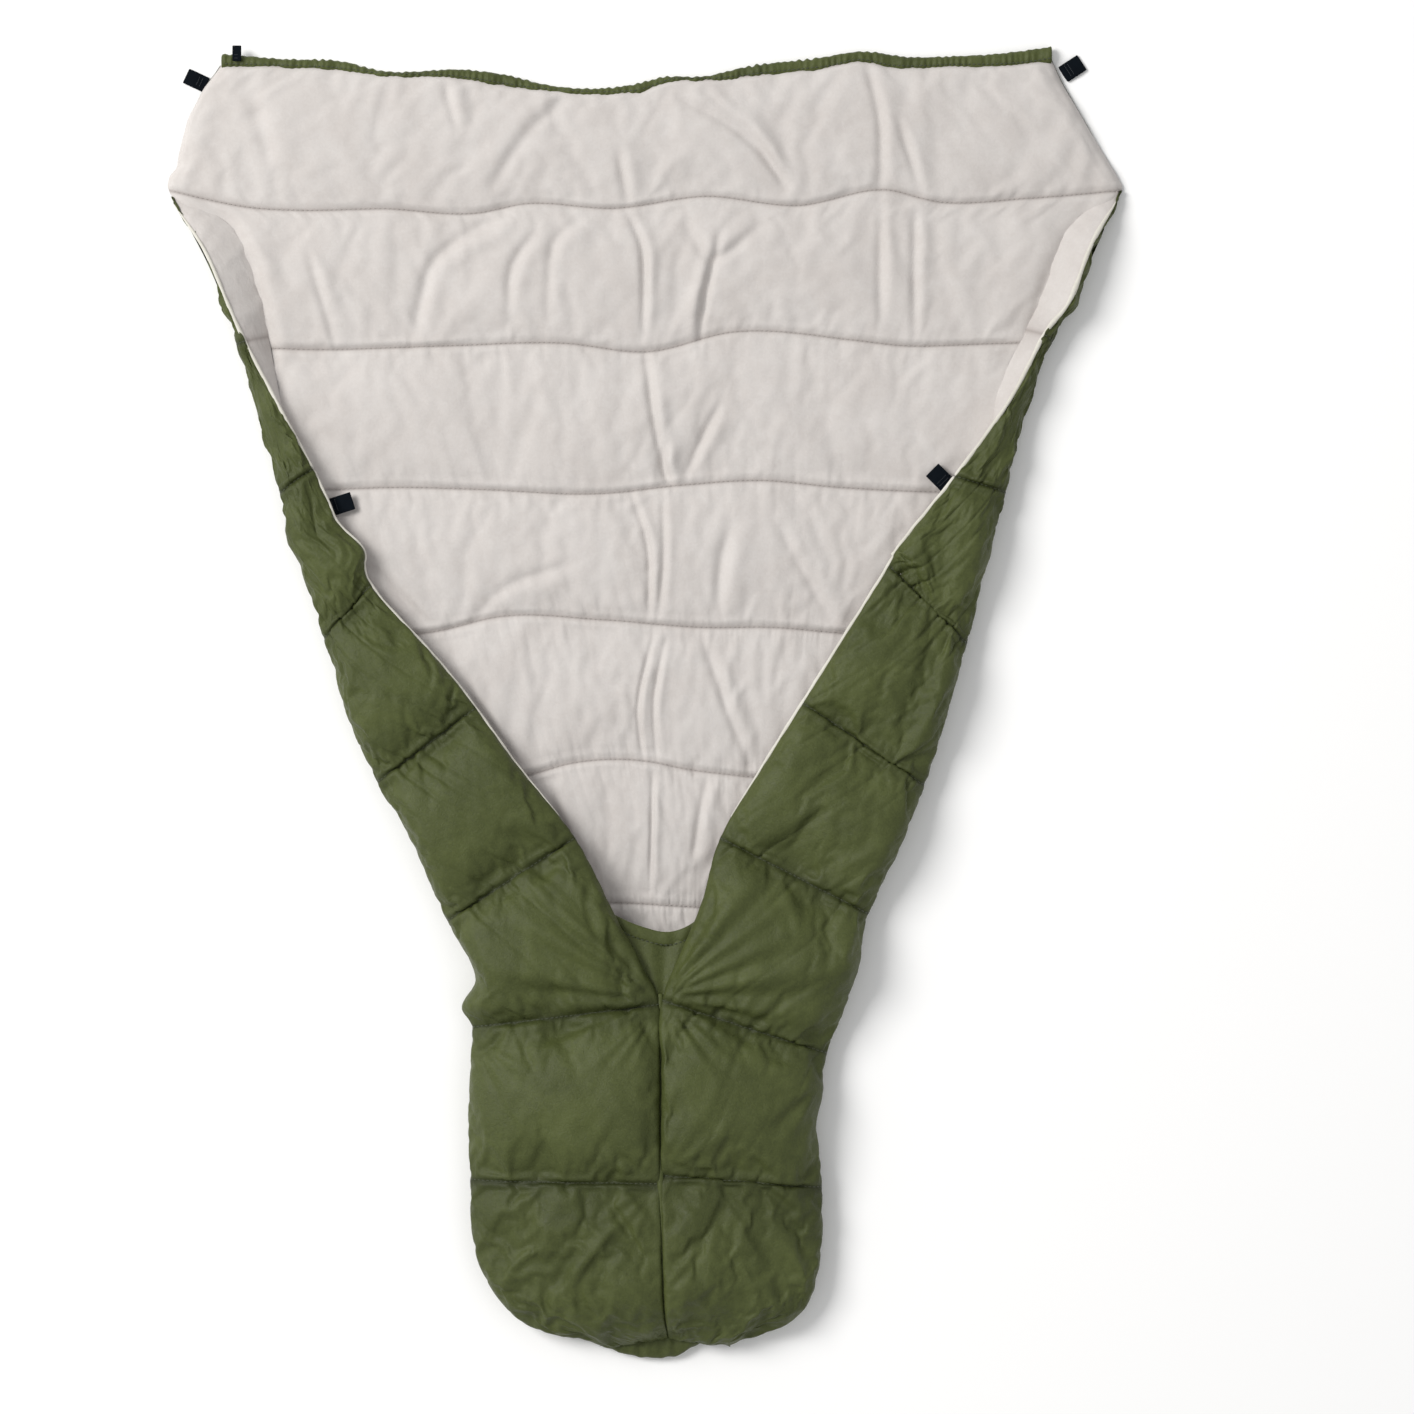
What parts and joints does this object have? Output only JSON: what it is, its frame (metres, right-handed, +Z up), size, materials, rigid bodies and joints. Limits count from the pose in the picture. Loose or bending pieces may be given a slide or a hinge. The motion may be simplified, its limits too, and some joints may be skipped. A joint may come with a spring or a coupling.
{
  "type": "camp quilt",
  "caption": "Tapered padded quilt lying open, lining up, with side flaps folded in, a closed foot box and webbing loops along its edges.",
  "frame": {"origin": "on the ground, in the middle of the quilt's plan box", "axes": "+X across the quilt, +Y towards its head end, +Z up out of the lining"},
  "size_m": [1.388, 1.9, 0.098],
  "materials": {
    "shell_fabric": "satin nylon taffeta",
    "lining_fabric": "brushed soft polyester",
    "edge_fabric": "turned lining edge",
    "wadding": "hollow fibre batting",
    "webbing": "woven tape"
  },
  "bodies": {
    "quilt": {"back_shell": "shell_fabric", "back_fill_1": "wadding", "back_fill_2": "wadding", "back_fill_3": "wadding", "back_fill_4": "wadding", "back_fill_5": "wadding", "back_fill_6": "wadding", "back_fill_7": "wadding", "back_fill_8": "wadding", "back_fill_9": "wadding", "back_lining": "lining_fabric", "head_hem": "shell_fabric", "fold_core_left": "wadding", "upper_edge_fill_left": "wadding", "gore_fill_left": "wadding", "gore_shell_left": "shell_fabric", "fold_core_right": "wadding", "upper_edge_fill_right": "wadding", "gore_fill_right": "wadding", "gore_shell_right": "shell_fabric", "foot_shell_left": "shell_fabric", "foot_top_fill_left_1": "wadding", "foot_top_fill_left_2": "wadding", "foot_lining_left": "lining_fabric", "foot_shell_right": "shell_fabric", "foot_top_fill_right_1": "wadding", "foot_top_fill_right_2": "wadding", "foot_lining_right": "lining_fabric", "foot_side_fill_left": "wadding", "foot_side_fill_right": "wadding", "foot_end_fill": "wadding", "centre_seam_tape": "lining_fabric", "foot_end_hem": "shell_fabric", "vee_gusset": "shell_fabric", "gusset_hem": "shell_fabric"},
    "flap_left": {"flap_fold_fill_left": "wadding", "flap_fill_left_1": "wadding", "flap_fill_left_2": "wadding", "flap_fill_left_3": "wadding", "flap_shell_left": "shell_fabric", "flap_lining_left": "lining_fabric", "flap_edge_left": "edge_fabric"},
    "flap_right": {"flap_fold_fill_right": "wadding", "flap_fill_right_1": "wadding", "flap_fill_right_2": "wadding", "flap_fill_right_3": "wadding", "flap_shell_right": "shell_fabric", "flap_lining_right": "lining_fabric", "flap_edge_right": "edge_fabric"},
    "head_tab_left": {"head_tab_left": "webbing"},
    "head_tab_right": {"head_tab_right": "webbing"},
    "side_tab_left": {"side_tab_left": "webbing"},
    "side_tab_right": {"side_tab_right": "webbing"},
    "hem_loop": {"hem_loop": "webbing"}
  },
  "joints": [
    {"name": "flap_left_fold", "type": "hinge", "parent": "quilt", "child": "flap_left", "pos_m": [-0.545, 0.428, 0.034], "axis": [0.3459, -0.9383, 0], "range_deg": [0, 65]},
    {"name": "flap_right_fold", "type": "hinge", "parent": "quilt", "child": "flap_right", "pos_m": [0.535, 0.433, 0.034], "axis": [0.2931, 0.9561, 0], "range_deg": [0, 65]},
    {"name": "head_tab_left_swing", "type": "hinge", "parent": "quilt", "child": "head_tab_left", "pos_m": [-0.642, 0.897, 0.005], "axis": [0.4226, 0.9063, 0], "range_deg": [0, 85]},
    {"name": "head_tab_right_swing", "type": "hinge", "parent": "quilt", "child": "head_tab_right", "pos_m": [0.612, 0.913, 0.005], "axis": [0.5446, -0.8387, 0], "range_deg": [0, 85]},
    {"name": "side_tab_left_swing", "type": "hinge", "parent": "flap_left", "child": "side_tab_left", "pos_m": [-0.4502, 0.281, 0.0323], "axis": [0.309, -0.9511, 0], "range_deg": [0, 85]},
    {"name": "side_tab_right_swing", "type": "hinge", "parent": "flap_right", "child": "side_tab_right", "pos_m": [0.435, 0.315, 0.0323], "axis": [0.7071, 0.7071, 0], "range_deg": [0, 85]},
    {"name": "hem_loop_swing", "type": "hinge", "parent": "quilt", "child": "hem_loop", "pos_m": [-0.591, 0.928, 0.0223], "axis": [1, 0, 0], "range_deg": [0, 85]}
  ]
}
